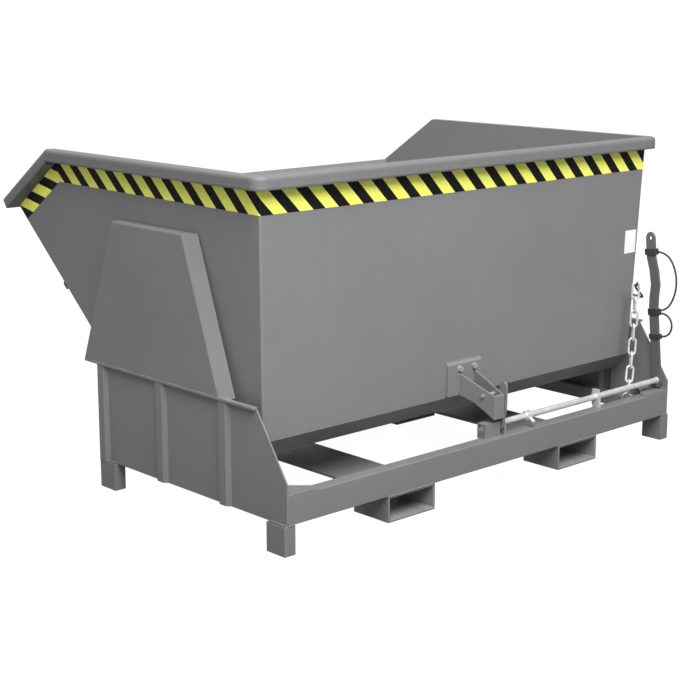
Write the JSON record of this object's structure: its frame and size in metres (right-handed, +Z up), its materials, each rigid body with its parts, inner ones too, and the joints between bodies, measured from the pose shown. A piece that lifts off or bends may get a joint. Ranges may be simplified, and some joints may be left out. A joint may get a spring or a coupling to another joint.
{
  "type": "roll-forward tipping skip with fork pockets",
  "caption": "Open sheet-steel skip with a sloped dumping front and folded rim, rolling forward to tip on a ribbed fork-pocket base, with a hand-lever latch and a hanging chain.",
  "frame": {"origin": "on the floor, under the centre of the overall box without the two cords", "axes": "+X to the right seen from the lever side's rear wall, along the skip's width; +Y towards the dumping lip; +Z up"},
  "size_m": [2.02, 1.6089, 1.184],
  "materials": {
    "grey_paint": "satin grey powder coat",
    "dark_paint": "darker grey paint",
    "zinc": "zinc plated",
    "bare_steel": "machined and greased",
    "black_plastic": "matt",
    "black_rope": "sheathed cord",
    "white_label": "blank adhesive plate"
  },
  "bodies": {
    "base_frame": {"rear_beam": "grey_paint", "front_beam": "grey_paint", "fork_pocket_left": "grey_paint", "fork_pocket_right": "grey_paint", "side_sill_left": "grey_paint", "side_sill_right": "grey_paint", "leg_rear_left": "grey_paint", "leg_rear_right": "grey_paint", "leg_front_left": "grey_paint", "leg_front_right": "grey_paint", "side_plate_left": "grey_paint", "side_plate_right": "grey_paint", "track_left": "grey_paint", "track_right": "grey_paint", "guard_left": "grey_paint", "guard_right": "grey_paint", "corner_gusset_left": "grey_paint", "corner_gusset_right": "grey_paint", "guide_bar_left": "zinc", "guide_bar_right": "zinc", "shaft_boss": "grey_paint", "latch_cheek": "grey_paint", "shaft_bearing": "zinc", "chain_eye": "zinc", "safety_chain": "zinc", "chain_hook": "dark_paint"},
    "guide_shoes": {"guide_shoe_left": "bare_steel", "guide_shoe_right": "bare_steel"},
    "skip": {"rear_wall": "grey_paint", "floor_pan": "grey_paint", "floor_knuckle": "grey_paint", "front_slope": "grey_paint", "side_wall_left": "grey_paint", "side_wall_right": "grey_paint", "rim_rear": "grey_paint", "rim_corner_left": "grey_paint", "rim_corner_right": "grey_paint", "rim_side_left": "grey_paint", "rim_side_right": "grey_paint", "rim_slant_left": "grey_paint", "rim_slant_right": "grey_paint", "lip_bar": "grey_paint", "slope_stiffener": "grey_paint", "roll_segment_left": "grey_paint", "roll_segment_right": "grey_paint", "catch_plate": "grey_paint", "catch_arm": "grey_paint", "striker_pin": "zinc", "catch_bolts": "zinc", "blank_plate": "white_label"},
    "release": {"release_shaft": "zinc", "latch_hook": "grey_paint", "hand_lever": "dark_paint", "rope_collar": "black_plastic", "rope_clip_mid": "black_plastic", "rope_clip_low": "black_plastic", "shaft_stud": "zinc", "pull_rope": "black_rope", "rope_tail": "black_rope"}
  },
  "joints": [
    {"name": "skip_roll", "type": "slide", "parent": "base_frame", "child": "guide_shoes", "axis": [0, 1, 0], "range_m": [0, 0.342]},
    {"name": "skip_tip", "type": "hinge", "parent": "guide_shoes", "child": "skip", "pos_m": [0, -0.075, 0.6883], "axis": [-1, 0, 0], "range_deg": [0, 85]},
    {"name": "release_turn", "type": "hinge", "parent": "base_frame", "child": "release", "pos_m": [0.5, -0.745, 0.235], "axis": [1, 0, 0], "range_deg": [-12, 22]}
  ],
  "couplings": [
    {"joint": "skip_roll", "follows": "skip_tip", "m_per_rad": 0.23}
  ]
}
